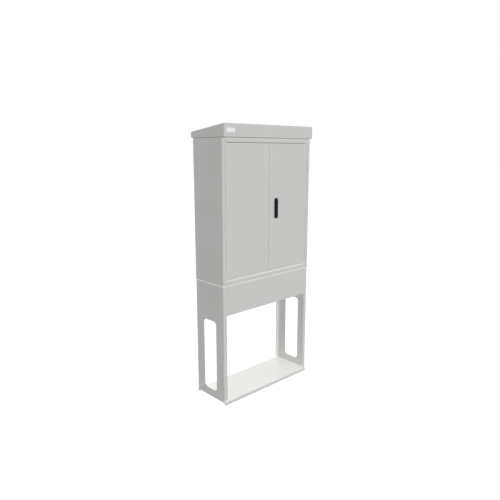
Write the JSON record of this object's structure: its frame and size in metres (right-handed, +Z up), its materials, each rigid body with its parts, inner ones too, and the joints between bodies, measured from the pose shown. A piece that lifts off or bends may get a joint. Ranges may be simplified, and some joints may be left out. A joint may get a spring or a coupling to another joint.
{
  "type": "floor-standing electrical cabinet",
  "caption": "Double-door sheet-steel cable cabinet with a sloped roof, swing handle and rod lock, on an open pedestal with windowed sides and a base plate.",
  "frame": {"origin": "middle of the footprint, on the floor under the base plate's lips", "axes": "+X to the right seen from the front, -Y out of the doors, +Z up"},
  "size_m": [0.8, 0.324, 1.8056],
  "materials": {
    "grey_paint": "fine-grained light grey powder coat",
    "zinc_steel": "zinc plated, satin",
    "black_plastic": "black, fine grain",
    "black_rubber": "black foam rubber",
    "nylon": "dark grey nylon",
    "copper": "bare copper",
    "insulator": "dark red cast resin"
  },
  "bodies": {
    "cabinet": {"base_plate": "grey_paint", "left_pedestal_posts": "grey_paint", "right_pedestal_posts": "grey_paint", "left_pedestal_wall": "grey_paint", "right_pedestal_wall": "grey_paint", "pedestal_lids": "grey_paint", "front_skirt": "grey_paint", "rear_skirt": "grey_paint", "floor_side_strips": "grey_paint", "floor_cross_strips": "grey_paint", "left_side_panel": "grey_paint", "right_side_panel": "grey_paint", "back_panel": "grey_paint", "top_rail": "grey_paint", "bottom_rail": "grey_paint", "top_panel": "grey_paint", "roof": "grey_paint", "pedestal_bolts": "zinc_steel", "pedestal_nuts": "zinc_steel", "roof_bolts": "zinc_steel", "roof_nuts": "zinc_steel", "door_keepers": "zinc_steel", "mounting_plate": "zinc_steel", "mounting_brackets": "zinc_steel", "din_rail_top": "zinc_steel", "din_rail_middle": "zinc_steel", "din_rail_bottom": "zinc_steel", "cable_clamp_rail": "zinc_steel", "door_seal": "black_rubber", "roof_gasket": "black_rubber", "pivot_bushes": "nylon", "earth_bar": "copper", "earth_bar_supports": "insulator"},
    "left_door": {"left_door": "grey_paint", "left_door_pivot_blocks": "zinc_steel", "left_door_pivot_pins": "zinc_steel", "meeting_seal": "black_rubber", "left_bolt_guides": "nylon"},
    "left_upper_bolt": {"left_upper_bolt": "zinc_steel"},
    "left_lower_bolt": {"left_lower_bolt": "zinc_steel"},
    "right_door": {"right_door": "grey_paint", "right_door_pivot_blocks": "zinc_steel", "right_door_pivot_pins": "zinc_steel", "handle_base": "black_plastic", "lock_cover": "zinc_steel", "rod_guides": "nylon"},
    "handle_hub": {"handle_hub": "zinc_steel", "lock_pinion": "zinc_steel", "lever_pin": "zinc_steel"},
    "handle_lever": {"handle_lever": "black_plastic"},
    "lock_plug": {"lock_plug": "zinc_steel"},
    "upper_lock_rod": {"upper_lock_rod": "zinc_steel"},
    "lower_lock_rod": {"lower_lock_rod": "zinc_steel"}
  },
  "joints": [
    {"name": "left_door_hinge", "type": "hinge", "parent": "cabinet", "child": "left_door", "pos_m": [-0.36, -0.133, 1.268], "axis": [0, 0, -1], "range_deg": [0, 110]},
    {"name": "right_door_hinge", "type": "hinge", "parent": "cabinet", "child": "right_door", "pos_m": [0.36, -0.133, 1.268], "axis": [0, 0, 1], "range_deg": [0, 110]},
    {"name": "left_upper_bolt_slide", "type": "slide", "parent": "left_door", "child": "left_upper_bolt", "axis": [0, 0, -1], "range_m": [0, 0.016]},
    {"name": "left_lower_bolt_slide", "type": "slide", "parent": "left_door", "child": "left_lower_bolt", "axis": [0, 0, 1], "range_m": [0, 0.016]},
    {"name": "handle_turn", "type": "hinge", "parent": "right_door", "child": "handle_hub", "pos_m": [0.0635, -0.142, 1.3105], "axis": [0, -1, 0], "range_deg": [0, 90]},
    {"name": "handle_lift", "type": "hinge", "parent": "handle_hub", "child": "handle_lever", "pos_m": [0.0635, -0.1488, 1.3185], "axis": [-1, 0, 0], "range_deg": [0, 35]},
    {"name": "lock_plug_turn", "type": "hinge", "parent": "handle_lever", "child": "lock_plug", "pos_m": [0.0635, -0.1488, 1.226], "axis": [0, -1, 0], "range_deg": [0, 90]},
    {"name": "upper_rod_slide", "type": "slide", "parent": "right_door", "child": "upper_lock_rod", "axis": [0, 0, -1], "range_m": [0, 0.0189]},
    {"name": "lower_rod_slide", "type": "slide", "parent": "right_door", "child": "lower_lock_rod", "axis": [0, 0, 1], "range_m": [0, 0.0189]}
  ],
  "couplings": [
    {"joint": "upper_rod_slide", "follows": "handle_turn", "m_per_rad": 0.012},
    {"joint": "lower_rod_slide", "follows": "handle_turn", "m_per_rad": 0.012}
  ]
}
